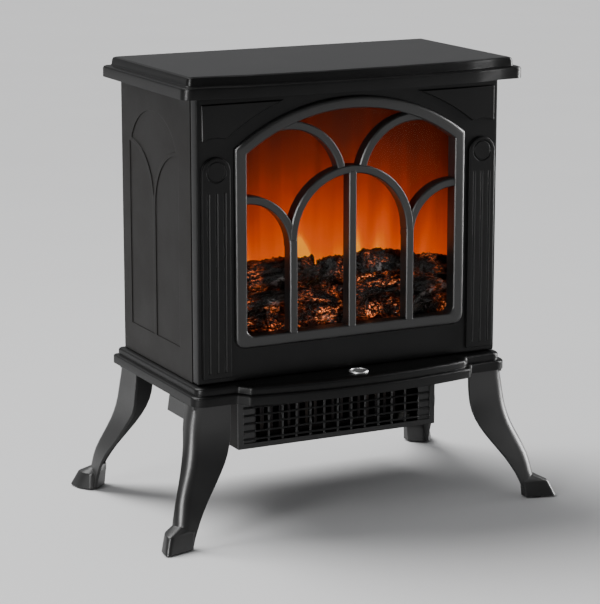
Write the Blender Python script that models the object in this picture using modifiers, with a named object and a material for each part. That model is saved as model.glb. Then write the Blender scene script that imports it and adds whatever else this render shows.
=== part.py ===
"""Freestanding electric stove heater, built as separate parts.

Frame: metres, +Z up, +X to the right seen from the front, the front faces -Y.  The origin is on the
floor, at the middle of the footprint.  A bow-fronted top and base carry a sheet cabinet on four cast
legs; the arched window shows a log bed and a lit flame screen; a fan heater hangs under the base.
"""
import math

import bmesh
import bpy
from mathutils import Matrix, Vector

# ---------------------------------------------------------------- driving dimensions
GAP = 0.0003
CABINET_HALF = 0.1925
CABINET_FRONT = -0.1055
CABINET_BACK = 0.1075
CABINET_BOTTOM = 0.1773
CABINET_TOP = 0.5027
TOP_BOTTOM = 0.5030
OVERALL_HEIGHT = 0.5267
TOP_HALF = 0.2155
TOP_BACK = 0.1087
LIP_TOP = 0.5168
BASE_BOTTOM = 0.1560
BASE_TOP = 0.1770
BASE_HALF = 0.2030
BASE_BACK = 0.1207
TIER_INSET = 0.0052
SHEET = 0.0015
FASCIA_WALL = 0.0030
FASCIA_RETURN = 0.0165

WINDOW_HALF = 0.1470
WINDOW_BOTTOM = 0.2150
ARCH_RADIUS = 0.2401
ARCH_CENTRE_Z = 0.2532
WINDOW_CORNER = 0.0120
FRAME_WIDTH = 0.0135
FRAME_RAISED = 0.0050
FRAME_DEPTH = 0.0120
GLASS_FRONT = 0.0130
GLASS_THICKNESS = 0.0030
BAR_WIDTH = 0.0095
MULLION_X = 0.0750
MULLION_TOP = 0.3352
CENTRE_MULLION_TOP = 0.4085

# Tracery arcs: middle x, middle z and radius on the right-hand side.
SIDE_ARC = (0.1335, 0.3260, 0.05855)
UPPER_ARC = (0.0810, 0.3955, 0.0694)
CENTRE_ARC = (0.0, 0.3350, 0.0750)

PILASTER_X = 0.1700
PILASTER_HALF = 0.0175
PILASTER_FOOT = 0.1840
PILASTER_HEAD = 0.4180
FLUTE_SPACING = 0.0100

PANE_FRONT = CABINET_FRONT + 0.0500
PANE_BACK = CABINET_FRONT + 0.1890
PANE_BOTTOM = 0.2120
PANE_HUB = 0.3640
PANE_SPRING = 0.4110
PANE_RISE = 0.0620
PANE_BAR_HALF = 0.0035
PANE_DEPTH = 0.0008

BOX_HALF = 0.1295
BOX_BOTTOM = 0.0873
BOX_TOP = 0.1557
BOX_FRONT = CABINET_FRONT + 0.0330
BOX_BACK = CABINET_FRONT + 0.2220
GRILLE_THICKNESS = 0.0030
MOUTH_HALF = 0.1070
MOUTH_BOTTOM = 0.0935
MOUTH_TOP = 0.1492

LINER_HALF = 0.1800
LINER_BOTTOM = 0.2000
LINER_TOP = 0.4960
LINER_FRONT = CABINET_FRONT + 0.0175
LINER_BACK = CABINET_FRONT + 0.0980
SCREEN_FRONT = CABINET_FRONT + 0.0820

ROTOR_Y = CABINET_FRONT + 0.1290
ROTOR_Z = 0.2620
ROTOR_HALF = 0.1500
ROTOR_RADIUS = 0.0180
SHAFT_RADIUS = 0.0025
SHAFT_CLEARANCE = 0.0003

BLOWER_Y = CABINET_FRONT + 0.1450
BLOWER_Z = 0.1200
BLOWER_RADIUS = 0.0220
BLOWER_LEFT = -0.1000
BLOWER_RIGHT = 0.0600
BLOWER_SHAFT = 0.0030
BLOWER_BLADES = 12

CONTROL_X = -0.1000
CONTROL_Z = 0.4350
KNOB_X = CONTROL_X - 0.0360
SWITCH_X = [CONTROL_X - 0.0020, CONTROL_X + 0.0200, CONTROL_X + 0.0420]
ROCKER_TILT = math.radians(10)
PLATE_FACE = CABINET_BACK + GAP + 0.0020

GLAND_X = 0.1500
GLAND_Z = 0.2050
REAR_SCREWS = [(side * 0.1845, z) for side in (-1, 1) for z in (0.200, 0.480)]
SCREW_HOLE = 0.0019

# Leg stations: height, both front and back walls' inner edge, front corner's x, corner's y, front side
# wall's edge y, then the back corner's x and the back side wall's edge y.
LEG_STATIONS = [
    (0.1557, 0.1556, 0.2030, 0.1120, 0.0896, 0.2000, 0.0560),
    (0.1300, 0.1563, 0.2068, 0.1124, 0.0928, 0.2038, 0.0532),
    (0.1100, 0.1588, 0.2095, 0.1152, 0.0984, 0.2065, 0.0545),
    (0.0900, 0.1670, 0.2145, 0.1206, 0.1048, 0.2115, 0.0677),
    (0.0700, 0.1807, 0.2224, 0.1274, 0.1145, 0.2194, 0.0788),
    (0.0500, 0.1957, 0.2299, 0.1344, 0.1215, 0.2269, 0.0939),
    (0.0300, 0.2077, 0.2342, 0.1400, 0.1235, 0.2302, 0.1060),
    (0.0030, 0.2178, 0.2373, 0.1442, 0.1249, 0.2319, 0.1172),
]
LEG_WALL = 0.0035
LEG_CORNER = 0.0140
LEG_ROWS = 16
LEG_BOLTS = [(sx * 0.181, sy * 0.087) for sx in (-1, 1) for sy in (-1, 1)]
BOLT_HOLE = 0.0034
FLANGE_BOTTOM = 0.1515
FLANGE_TOP = 0.1552
PAD_X = 0.2340
PAD_Y = 0.1390
PAD_RADIUS = 0.0085
PAD_HEIGHT = 0.0012

# ---------------------------------------------------------------- finishes: colour, roughness, metallic
FINISHES = {
    "black_paint": ((0.020, 0.020, 0.021), 0.42, 0.0),
    "black_plastic": ((0.022, 0.022, 0.023), 0.38, 0.0),
    "satin_black": ((0.016, 0.016, 0.017), 0.45, 0.0),
    "glass": ((0.10, 0.10, 0.10), 0.05, 0.0),
    "flame_film": ((0.90, 0.32, 0.05), 0.40, 0.0),
    "charred_resin": ((0.05, 0.035, 0.03), 0.80, 0.0),
    "zinc_sheet": ((0.55, 0.56, 0.57), 0.40, 0.9),
    "polished_sheet": ((0.80, 0.80, 0.78), 0.15, 1.0),
    "circuit_board": ((0.85, 0.84, 0.80), 0.50, 0.0),
    "motor_steel": ((0.50, 0.50, 0.52), 0.35, 1.0),
    "heater_fins": ((0.65, 0.65, 0.66), 0.35, 1.0),
    "white_nylon": ((0.80, 0.79, 0.75), 0.50, 0.0),
    "silver_badge": ((0.70, 0.71, 0.72), 0.25, 1.0),
    "rubber": ((0.03, 0.03, 0.03), 0.80, 0.0),
    "screw_steel": ((0.35, 0.35, 0.36), 0.35, 1.0),
    "knob_plastic": ((0.03, 0.03, 0.03), 0.35, 0.0),
}


# ---------------------------------------------------------------- scene and modelling helpers
def reset_scene():
    for obj in list(bpy.data.objects):
        bpy.data.objects.remove(obj, do_unlink=True)


def new_collection(name):
    collection = bpy.data.collections.new(name)
    bpy.context.scene.collection.children.link(collection)
    return collection


def finish_material(key):
    """One Principled material for each finish, made on first use."""
    material = bpy.data.materials.get(key)
    if material is None:
        colour, roughness, metallic = FINISHES[key]
        material = bpy.data.materials.new(key)
        material.use_nodes = True
        shader = material.node_tree.nodes["Principled BSDF"]
        shader.inputs["Base Color"].default_value = (*colour, 1.0)
        shader.inputs["Roughness"].default_value = roughness
        shader.inputs["Metallic"].default_value = metallic
        material.diffuse_color = (*colour, 1.0)
    return material


def object_from(bm, name, collection, origin=None):
    """Turn world-space geometry into an object whose origin is at `origin` or at the shape's middle."""
    if origin is None:
        low = [min(v.co[axis] for v in bm.verts) for axis in range(3)]
        high = [max(v.co[axis] for v in bm.verts) for axis in range(3)]
        origin = [(a + b) / 2 for a, b in zip(low, high)]
    bmesh.ops.translate(bm, verts=bm.verts, vec=-Vector(origin))
    mesh = bpy.data.meshes.new(name)
    bm.to_mesh(mesh)
    bm.free()
    obj = bpy.data.objects.new(name, mesh)
    obj.location = origin
    collection.objects.link(obj)
    return obj


def part(bm, name, finish, origin=None, smooth=False):
    obj = object_from(bm, name, PARTS, origin)
    own = finish_material(finish).copy()
    own.name = name
    obj.data.materials.append(own)
    if smooth:
        obj.data.shade_smooth()
        obj.data.set_sharp_from_angle(angle=math.radians(35))
    return obj


def tool(bm, name):
    """A cutter or an addition that a Boolean reads; it isn't part of the object."""
    obj = object_from(bm, name, TOOLS)
    obj.hide_render = True
    obj.display_type = "WIRE"
    return obj


def boolean(target, other, operation):
    modifier = target.modifiers.new(operation.lower(), "BOOLEAN")
    modifier.operation = operation
    modifier.solver = "EXACT"
    modifier.object = other


def cut(target, bm, name="cut"):
    boolean(target, tool(bm, target.name + "_" + name), "DIFFERENCE")


def join(target, bm, name="add"):
    boolean(target, tool(bm, target.name + "_" + name), "UNION")


def bevel(obj, width, segments=2, angle=40):
    modifier = obj.modifiers.new("rounded_edges", "BEVEL")
    modifier.width = width
    modifier.segments = segments
    modifier.limit_method = "ANGLE"
    modifier.angle_limit = math.radians(angle)
    return obj


def solidify(obj, thickness):
    modifier = obj.modifiers.new("wall", "SOLIDIFY")
    modifier.thickness = thickness
    modifier.offset = -1.0
    return obj


def add_box(bm, low, high, turn=None):
    """A box between two corners, optionally turned about its middle by a matrix."""
    size = Vector(high) - Vector(low)
    middle = (Vector(high) + Vector(low)) / 2
    matrix = Matrix.Translation(middle)
    if turn is not None:
        matrix = matrix @ turn
    matrix = matrix @ Matrix.Diagonal((*size, 1.0))
    bmesh.ops.create_cube(bm, size=1.0, matrix=matrix)
    return bm


def box(low, high):
    return add_box(bmesh.new(), low, high)


AXIS_TURN = {
    "X": Matrix.Rotation(math.radians(90), 4, "Y"),
    "Y": Matrix.Rotation(math.radians(-90), 4, "X"),
    "Z": Matrix.Identity(4),
}


def add_rod(bm, centre, axis, radius, length, sides=24, end_radius=None):
    """A round bar; `centre` is its middle and the second radius is at the far end of the axis."""
    far = radius if end_radius is None else end_radius
    matrix = Matrix.Translation(centre) @ AXIS_TURN[axis]
    bmesh.ops.create_cone(bm, cap_ends=True, segments=sides, radius1=radius, radius2=far,
                          depth=length, matrix=matrix)
    return bm


def rod(centre, axis, radius, length, sides=24, end_radius=None):
    return add_rod(bmesh.new(), centre, axis, radius, length, sides, end_radius)


def add_bar_between(bm, start, end, radius, end_radius, sides=10):
    """A tapered round bar from one point to another."""
    start, end = Vector(start), Vector(end)
    turn = (end - start).to_track_quat("Z", "Y").to_matrix().to_4x4()
    matrix = Matrix.Translation((start + end) / 2) @ turn
    bmesh.ops.create_cone(bm, cap_ends=True, segments=sides, radius1=radius, radius2=end_radius,
                          depth=(end - start).length, matrix=matrix)
    return bm


OUTLINE_PLANE = {
    "X": Matrix(((0, 0, 1, 0), (1, 0, 0, 0), (0, 1, 0, 0), (0, 0, 0, 1))),
    "Y": Matrix(((1, 0, 0, 0), (0, 0, -1, 0), (0, 1, 0, 0), (0, 0, 0, 1))),
    "Z": Matrix.Identity(4),
}


def extruded(outlines, axis, low, high):
    """A flat outline, with holes if more than one is given, extruded along an axis.

    The outline's own plane is YZ, XZ or XY for the axes X, Y and Z.
    """
    curve = bpy.data.curves.new("outline", "CURVE")
    curve.dimensions = "2D"
    curve.fill_mode = "BOTH"
    curve.extrude = (high - low) / 2
    for outline in outlines:
        spline = curve.splines.new("POLY")
        spline.points.add(len(outline) - 1)
        for point, (u, v) in zip(spline.points, outline):
            point.co = (u, v, 0.0, 1.0)
        spline.use_cyclic_u = True
    obj = bpy.data.objects.new("outline", curve)
    TOOLS.objects.link(obj)
    bpy.context.view_layer.update()
    evaluated = obj.evaluated_get(bpy.context.evaluated_depsgraph_get())
    mesh = bpy.data.meshes.new_from_object(evaluated)
    bm = bmesh.new()
    bm.from_mesh(mesh)
    bpy.data.objects.remove(obj, do_unlink=True)
    bpy.data.curves.remove(curve)
    bpy.data.meshes.remove(mesh)
    bmesh.ops.remove_doubles(bm, verts=bm.verts, dist=0.00001)
    bmesh.ops.dissolve_limit(bm, angle_limit=0.002, verts=bm.verts, edges=bm.edges)
    offset = {"X": Vector((1, 0, 0)), "Y": Vector((0, 1, 0)), "Z": Vector((0, 0, 1))}[axis]
    matrix = Matrix.Translation(offset * (low + high) / 2) @ OUTLINE_PLANE[axis]
    bmesh.ops.transform(bm, matrix=matrix, verts=bm.verts)
    bmesh.ops.recalc_face_normals(bm, faces=bm.faces)
    return bm


def loft(rings, closed=False, bm=None):
    """Skin rings that have equal counts of points; the ends are capped unless the rings close up."""
    bm = bm or bmesh.new()
    rows = [[bm.verts.new(point) for point in ring] for ring in rings]
    pairs = list(zip(rows, rows[1:]))
    if closed:
        pairs.append((rows[-1], rows[0]))
    faces = []
    for low, high in pairs:
        for i in range(len(low)):
            j = (i + 1) % len(low)
            faces.append(bm.faces.new((low[i], low[j], high[j], high[i])))
    if not closed:
        faces.append(bm.faces.new(list(reversed(rows[0]))))
        faces.append(bm.faces.new(rows[-1]))
    bmesh.ops.recalc_face_normals(bm, faces=faces)
    return bm


def turned(name, profile, centre, axis, finish, steps=32):
    """A profile of (radius, height) points, from top to bottom on the outside, turned on its axis."""
    bm = bmesh.new()
    verts = [bm.verts.new((radius, 0.0, height)) for radius, height in profile]
    for first, second in zip(verts, verts[1:]):
        bm.edges.new((first, second))
    obj = part(bm, name, finish, origin=(0.0, 0.0, 0.0))
    obj.matrix_world = Matrix.Translation(centre) @ AXIS_TURN[axis]
    screw = obj.modifiers.new("turned", "SCREW")
    screw.steps = steps
    screw.render_steps = steps
    screw.use_merge_vertices = True
    screw.merge_threshold = 0.00001
    screw.use_smooth_shade = True
    return obj


def smoothstep(t):
    t = min(max(t, 0.0), 1.0)
    return t * t * (3 - 2 * t)


def arc(centre, radius, start_deg, end_deg, steps):
    """Points along a circular arc in the outline's plane."""
    points = []
    for i in range(steps + 1):
        angle = math.radians(start_deg + (end_deg - start_deg) * i / steps)
        points.append((centre[0] + radius * math.cos(angle), centre[1] + radius * math.sin(angle)))
    return points


def rounded_polygon(corners, radii, steps=4):
    """A polygon with each corner eased by a curve that starts `radius` away from it."""
    points = []
    count = len(corners)
    for i, (corner, radius) in enumerate(zip(corners, radii)):
        corner = Vector(corner)
        before = (Vector(corners[i - 1]) - corner).normalized() * radius + corner
        after = (Vector(corners[(i + 1) % count]) - corner).normalized() * radius + corner
        if radius == 0:
            points.append(tuple(corner))
            continue
        for k in range(steps + 1):
            t = k / steps
            points.append(tuple(before * (1 - t) ** 2 + corner * 2 * t * (1 - t) + after * t * t))
    return points


# ---------------------------------------------------------------- top and base
class BowedOutline:
    """Plan of the top and of the base: straight back and sides, a bowed front between two ears."""

    def __init__(self, half, back, centre_y, bow_half, bow_rise, ear_half, ear_y, corners):
        self.half, self.back, self.corners = half, back, corners
        self.centre_y, self.bow_half, self.bow_rise = centre_y, bow_half, bow_rise
        self.ear_half, self.ear_y = ear_half, ear_y

    def front(self, x):
        bow = self.centre_y + self.bow_rise * min(x / self.bow_half, 1.0) ** 2
        blend = smoothstep((x - self.bow_half) / (self.ear_half - self.bow_half))
        return bow + (self.ear_y - bow) * blend

    def ring(self, inset, z):
        front_corner, back_corner = [max(corner - 0.6 * inset, 0.001) for corner in self.corners]
        half, back = self.half - inset, self.back - inset
        xs = [self.bow_half * i / 6 for i in range(6)]
        xs += [self.bow_half + (self.ear_half - self.bow_half) * i / 4 for i in range(5)]
        right = [(x - inset * 0.7 * (x >= self.bow_half), self.front(x) + inset) for x in xs]
        ear_y = self.ear_y + inset
        right += arc((half - front_corner, ear_y + front_corner), front_corner, -90, 0, 7)
        right += arc((half - back_corner, back - back_corner), back_corner, 0, 90, 3)
        left = [(-x, y) for x, y in reversed(right) if x > 0]
        return [(x, y, z) for x, y in right + left]


TOP_OUTLINE = BowedOutline(TOP_HALF, TOP_BACK, CABINET_FRONT - 0.0345, 0.1430, 0.0040,
                           0.1930, CABINET_FRONT - 0.0210, (0.0120, 0.0040))
BASE_OUTLINE = BowedOutline(BASE_HALF, BASE_BACK, CABINET_FRONT - 0.0460, 0.1405, 0.0145,
                            0.1545, CABINET_FRONT - 0.0150, (0.0150, 0.0030))


def make_top_plate():
    """Moulded top: a lip with an eased edge, then a raised step; hollow underneath."""
    profile = [(0.0, TOP_BOTTOM), (0.0, LIP_TOP - 0.0037), (0.0010, LIP_TOP - 0.0015),
               (0.0034, LIP_TOP - 0.0005), (0.0076, LIP_TOP), (0.0086, LIP_TOP + 0.0014),
               (0.0090, OVERALL_HEIGHT - 0.0038), (0.0101, OVERALL_HEIGHT - 0.0011), (0.0128, OVERALL_HEIGHT)]
    obj = part(loft([TOP_OUTLINE.ring(inset, z) for inset, z in profile]), "top_plate",
               "black_plastic", smooth=True)
    hollow = box((-0.184, CABINET_FRONT + 0.008, TOP_BOTTOM - 0.003), (0.184, CABINET_BACK - 0.008, 0.5195))
    cut(obj, hollow, "hollow")


def make_base_plate():
    """Moulded base in two tiers with a groove between; solid bosses stay over the legs."""
    profile = [(0.0, BASE_BOTTOM), (0.0, 0.1650), (0.0010, 0.1664), (0.0026, 0.1671),
               (TIER_INSET, 0.1674), (TIER_INSET, 0.1728), (TIER_INSET + 0.0008, 0.1746),
               (TIER_INSET + 0.0026, 0.1758), (TIER_INSET + 0.0058, 0.1766), (TIER_INSET + 0.0090, BASE_TOP)]
    obj = part(loft([BASE_OUTLINE.ring(inset, z) for inset, z in profile]), "base_plate",
               "black_plastic", smooth=True)
    pocket = box((-0.120, BOX_FRONT + 0.010, 0.150), (0.120, BOX_BACK - 0.012, 0.1725))
    cut(obj, pocket, "pocket")
    cut(obj, box((0.060, 0.040, 0.165), (0.105, 0.062, 0.185)), "wire_hole")
    bolts = bmesh.new()
    for x, y in LEG_BOLTS:
        add_rod(bolts, (x, y, BASE_BOTTOM + 0.003), "Z", BOLT_HOLE, 0.020, 16)
    cut(obj, bolts, "bolt_holes")


def make_badge():
    """Plain rimmed badge on the base's front ledge."""
    profile = [(0.0, 0.0010), (0.0090, 0.0010), (0.0094, 0.0018), (0.0106, 0.0018), (0.0112, 0.0010),
               (0.0112, 0.0), (0.0, 0.0)]
    turned("badge", profile, (0.0, CABINET_FRONT - 0.0200, BASE_TOP + GAP), "Z", "silver_badge", 24)


# ---------------------------------------------------------------- front
def arched_outline(inset, steps=28):
    """The window's outline, `inset` in from its outer edge: flat sill, jambs and a round-headed arch."""
    half, radius, bottom = WINDOW_HALF - inset, ARCH_RADIUS - inset, WINDOW_BOTTOM + inset
    corner = WINDOW_CORNER - 0.22 * inset
    spring = math.degrees(math.acos(half / radius))
    points = arc((half - corner, bottom + corner), corner, -90, 0, 5)
    points += arc((0.0, ARCH_CENTRE_Z), radius, spring, 180 - spring, steps)
    points += arc((-half + corner, bottom + corner), corner, 180, 270, 5)
    return points


def add_arc_bar(bm, centre, radius, start, end, front, steps):
    """A tracery bar along an arc: flat face, eased front edges, square back."""
    ease = 0.0013
    low, high = radius - BAR_WIDTH / 2, radius + BAR_WIDTH / 2
    back = CABINET_FRONT + FRAME_DEPTH - 0.0004
    section = [(low, back), (low, front + ease), (low + ease, front), (high - ease, front),
               (high, front + ease), (high, back)]
    rings = []
    for i in range(steps + 1):
        angle = math.radians(start + (end - start) * i / steps)
        across, up = math.cos(angle), math.sin(angle)
        rings.append([(centre[0] + r * across, y, centre[1] + r * up) for r, y in section])
    loft(rings, bm=bm)


def make_front_fascia():
    """Moulded front: a shallow tray with the arched opening, raised pilasters and corner panels."""
    half = CABINET_HALF
    block = box((-half, CABINET_FRONT, CABINET_BOTTOM), (half, CABINET_FRONT + FASCIA_RETURN, CABINET_TOP))
    obj = part(block, "front_fascia", "black_plastic")
    bevel(obj, 0.0025, 2)
    inner = box((-half + FASCIA_WALL, CABINET_FRONT + FASCIA_WALL, CABINET_BOTTOM + FASCIA_WALL),
                (half - FASCIA_WALL, CABINET_FRONT + 0.030, CABINET_TOP - FASCIA_WALL))
    cut(obj, inner, "tray")
    opening = arched_outline(0.0070)
    cut(obj, extruded([opening], "Y", CABINET_FRONT - 0.010, CABINET_FRONT + 0.010), "opening")
    for side in (-1, 1):
        middle = side * PILASTER_X
        slab = [(middle - PILASTER_HALF, PILASTER_FOOT), (middle + PILASTER_HALF, PILASTER_FOOT)]
        slab += arc((middle, PILASTER_HEAD), PILASTER_HALF, 0, 180, 16)
        pilaster = tool(extruded([slab], "Y", CABINET_FRONT - 0.0042, CABINET_FRONT + 0.0010),
                        f"pilaster_{side}")
        bevel(pilaster, 0.0016, 2)
        boolean(obj, pilaster, "UNION")
        corner = tool(extruded([corner_panel(side)], "Y", CABINET_FRONT - 0.0025, CABINET_FRONT + 0.0010),
                      f"corner_panel_{side}")
        bevel(corner, 0.0010, 1)
        boolean(obj, corner, "UNION")
        flutes = bmesh.new()
        for offset in (-FLUTE_SPACING, 0.0, FLUTE_SPACING):
            add_rod(flutes, (middle + offset, CABINET_FRONT - 0.0046, 0.293), "Z", 0.0017, 0.204, 10)
        cut(obj, flutes, f"flutes_{side}")
        cut(obj, rosette_groove(middle, PILASTER_HEAD + 0.0015), f"rosette_{side}")


def corner_panel(side):
    """Outline of the raised panel between the arch, the pilaster's head and the cabinet's corner."""
    outer, top = 0.1865, 0.4940
    arch, cove = 0.2555, 0.0385
    pilaster = (PILASTER_X, PILASTER_HEAD)
    top_angle = math.degrees(math.asin((top - ARCH_CENTRE_Z) / arch))
    gap = math.hypot(pilaster[0], pilaster[1] - ARCH_CENTRE_Z)
    along = (arch ** 2 - cove ** 2 + gap ** 2) / (2 * gap)
    bearing = math.atan2(pilaster[1] - ARCH_CENTRE_Z, pilaster[0])
    low_angle = math.degrees(bearing + math.acos(along / arch))
    meet = (arch * math.cos(math.radians(low_angle)),
            ARCH_CENTRE_Z + arch * math.sin(math.radians(low_angle)))
    cove_start = math.degrees(math.acos((outer - pilaster[0]) / cove))
    cove_end = math.degrees(math.atan2(meet[1] - pilaster[1], meet[0] - pilaster[0]))
    points = [(outer, top)]
    points += arc((0.0, ARCH_CENTRE_Z), arch, top_angle, low_angle, 12)
    points += arc(pilaster, cove, cove_end, cove_start, 10)[1:]
    return [(side * x, z) for x, z in points]


def rosette_groove(x, z):
    """Ring-shaped cutter for the groove round the pilaster's rosette."""
    rings = []
    for i in range(28):
        angle = 2 * math.pi * i / 28
        ring = []
        for k in range(6):
            turn = 2 * math.pi * k / 6
            radius = 0.0115 + 0.0013 * math.cos(turn)
            ring.append((x + radius * math.cos(angle), CABINET_FRONT - 0.0044 + 0.0013 * math.sin(turn),
                         z + radius * math.sin(angle)))
        rings.append(ring)
    return loft(rings, closed=True)


def make_window_frame():
    """Arched frame with a flange over the fascia, and tracery bars across the opening."""
    face = CABINET_FRONT
    profile = [(0.0, -GAP), (0.0, -0.0022), (0.0010, -0.0039), (0.0026, -0.0047), (0.0050, -FRAME_RAISED),
               (0.0123, -FRAME_RAISED), (FRAME_WIDTH, -0.0038), (FRAME_WIDTH, FRAME_DEPTH),
               (0.0074, FRAME_DEPTH), (0.0074, -GAP)]
    rings = [[(x, face + depth, z) for x, z in arched_outline(inset)] for inset, depth in profile]
    obj = part(loft(rings, closed=True), "window_frame", "satin_black", smooth=True)
    quarter = bmesh.new()
    for side in (-1, 1):
        start, end = (180, 87) if side > 0 else (0, 93)
        x, z, radius = SIDE_ARC
        add_arc_bar(quarter, (side * x, z), radius, start, end, face - 0.0042, 12)
    join(obj, quarter, "side_arcs")
    upper = bmesh.new()
    for side in (-1, 1):
        start, end = (170, 75) if side > 0 else (10, 105)
        x, z, radius = UPPER_ARC
        add_arc_bar(upper, (side * x, z), radius, start, end, face - 0.0036, 14)
    upper_arcs = tool(upper, "window_frame_upper_arcs")
    limit = extruded([arched_outline(0.0080)], "Y", face - 0.010, face + 0.020)
    boolean(upper_arcs, tool(limit, "window_frame_limit"), "INTERSECT")
    head = bmesh.new()
    add_arc_bar(head, CENTRE_ARC[:2], CENTRE_ARC[2], 0, 180, face - 0.0045, 20)
    join(obj, head, "centre_arc")
    boolean(obj, upper_arcs, "UNION")
    posts = bmesh.new()
    for x, top in ((-MULLION_X, MULLION_TOP), (0.0, CENTRE_MULLION_TOP), (MULLION_X, MULLION_TOP)):
        low = (x - BAR_WIDTH / 2, face - 0.0048, WINDOW_BOTTOM + 0.0080)
        add_box(posts, low, (x + BAR_WIDTH / 2, face + 0.0114, top))
    mullions = tool(posts, "window_frame_mullions")
    bevel(mullions, 0.0011, 1)
    boolean(obj, mullions, "UNION")


def make_window_glass():
    front = CABINET_FRONT + GLASS_FRONT
    part(extruded([arched_outline(0.0078)], "Y", front, front + GLASS_THICKNESS), "window_glass", "glass")


# ---------------------------------------------------------------- cabinet
def side_panes():
    """Outlines of the three sunk panes of a cabinet side, in the YZ plane."""
    middle, half = (PANE_FRONT + PANE_BACK) / 2, (PANE_BACK - PANE_FRONT) / 2
    back_pane = [(middle + PANE_BAR_HALF, PANE_BOTTOM), (PANE_BACK, PANE_BOTTOM)]
    back_pane += arc((PANE_BACK, PANE_HUB), half - PANE_BAR_HALF, 90, 180, 10)
    front_pane = [(2 * middle - y, z) for y, z in back_pane]
    upper_radius = half + 0.0008
    reach = 0.0630
    upper = []
    for i in range(19):
        y = reach * (i / 9 - 1)
        upper.append((middle + y, PANE_HUB + math.sqrt(upper_radius ** 2 - (half - abs(y)) ** 2)))
    for i in range(15):
        y = (reach - 0.0002) * (1 - i / 7)
        upper.append((middle + y, PANE_SPRING + PANE_RISE * math.sqrt(1 - (y / half) ** 2)))
    return back_pane, front_pane, upper


def make_side_panels():
    """Sheet sides with a folded flange at the back, and sunk panes on the outside."""
    for side, name in ((-1, "side_panel_left"), (1, "side_panel_right")):
        outer = side * CABINET_HALF
        inner = side * (CABINET_HALF - 0.0022)
        edge = side * (CABINET_HALF - 0.0160)
        front, back = CABINET_FRONT + FASCIA_RETURN + 0.0005, CABINET_BACK - SHEET - GAP
        outline = [(outer, front), (outer, back), (edge, back), (edge, back - SHEET),
                   (inner, back - SHEET), (inner, front)]
        obj = part(extruded([outline], "Z", CABINET_BOTTOM, CABINET_TOP), name, "black_paint")
        low, high = sorted((outer - side * PANE_DEPTH, outer + side * 0.003))
        for number, pane in enumerate(side_panes()):
            cut(obj, extruded([pane], "X", low, high), f"pane_{number}")
        holes = bmesh.new()
        for x, z in REAR_SCREWS:
            if x * side > 0:
                add_rod(holes, (x, CABINET_BACK, z), "Y", SCREW_HOLE, 0.020, 12)
        cut(obj, holes, "screw_holes")


def make_rear_panel():
    """Sheet back with vent slots, screw holes, the control opening and the cord gland's hole."""
    low = (-CABINET_HALF + 0.0003, CABINET_BACK - SHEET, CABINET_BOTTOM)
    high = (CABINET_HALF - 0.0003, CABINET_BACK, CABINET_TOP)
    obj = part(box(low, high), "rear_panel", "black_paint")
    slots = bmesh.new()
    for column in (-1, 1):
        for row in range(5):
            z = 0.330 + row * 0.012
            add_box(slots, (column * 0.060 - 0.035, CABINET_BACK - 0.010, z),
                    (column * 0.060 + 0.035, CABINET_BACK + 0.010, z + 0.0045))
    cut(obj, slots, "vents")
    holes = bmesh.new()
    for x, z in REAR_SCREWS:
        add_rod(holes, (x, CABINET_BACK, z), "Y", SCREW_HOLE, 0.020, 12)
    add_rod(holes, (GLAND_X, CABINET_BACK, GLAND_Z), "Y", 0.0083, 0.020, 20)
    add_box(holes, (CONTROL_X - 0.056, CABINET_BACK - 0.010, CONTROL_Z - 0.017),
            (CONTROL_X + 0.056, CABINET_BACK + 0.010, CONTROL_Z + 0.017))
    cut(obj, holes, "openings")


def make_rear_screws():
    for number, (x, z) in enumerate(REAR_SCREWS, 1):
        head = CABINET_BACK + GAP
        profile = [(0.0, 0.0022), (0.0018, 0.0020), (0.0034, 0.0009), (0.0036, 0.0), (0.0015, 0.0),
                   (0.0015, -0.0060), (0.0, -0.0060)]
        turned(f"rear_screw_{number}", profile, (x, head, z), "Y", "screw_steel", 14)


# ---------------------------------------------------------------- firebox
def make_firebox_liner():
    """Folded sheet tunnel behind the glass, open at the front and the back."""
    obj = part(box((-LINER_HALF, LINER_FRONT, LINER_BOTTOM), (LINER_HALF, LINER_BACK, LINER_TOP)),
               "firebox_liner", "black_paint")
    inner = box((-LINER_HALF + SHEET, LINER_FRONT - 0.01, LINER_BOTTOM + SHEET),
                (LINER_HALF - SHEET, LINER_BACK + 0.01, LINER_TOP - SHEET))
    cut(obj, inner, "tunnel")


def make_flame_screen():
    half = LINER_HALF - SHEET - GAP
    part(box((-half, SCREEN_FRONT, LINER_BOTTOM + SHEET + GAP),
             (half, SCREEN_FRONT + 0.002, LINER_TOP - SHEET - GAP)), "flame_screen", "flame_film")


def make_flame_mask():
    """Bright sheet behind the screen, cut with tall wavy slots that shape the moving light."""
    half = LINER_HALF - SHEET - GAP
    front = SCREEN_FRONT + 0.0060
    obj = part(box((-half, front, LINER_BOTTOM + SHEET + GAP), (half, front + 0.001, 0.400)),
               "flame_mask", "polished_sheet")
    slots = bmesh.new()
    for number in range(7):
        middle = -0.138 + number * 0.046
        tall = 0.085 + 0.025 * math.cos(number * 2.4)
        outline = []
        for step in range(6):
            z = 0.270 + tall * step / 5
            wide = 0.0100 * math.cos(step / 5 * math.pi / 2) + 0.0012
            sway = 0.004 * math.sin(step * 1.3 + number)
            outline.append((middle + sway + wide, z))
            outline.insert(0, (middle + sway - wide, z))
        slot = extruded([outline], "Y", front - 0.005, front + 0.006)
        mesh = bpy.data.meshes.new("slot")
        slot.to_mesh(mesh)
        slot.free()
        slots.from_mesh(mesh)
        bpy.data.meshes.remove(mesh)
    cut(obj, slots, "slots")


def ember_height(x, y):
    """Top of the ember bed: a slope that rises to the back, with low lumps."""
    across = (y - LINER_FRONT) / (SCREEN_FRONT - LINER_FRONT)
    lumps = 0.0022 * math.sin(x * 95) * math.cos(y * 160) + 0.0016 * math.sin(x * 171 + y * 210)
    return 0.2290 + 0.0110 * across + lumps


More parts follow.
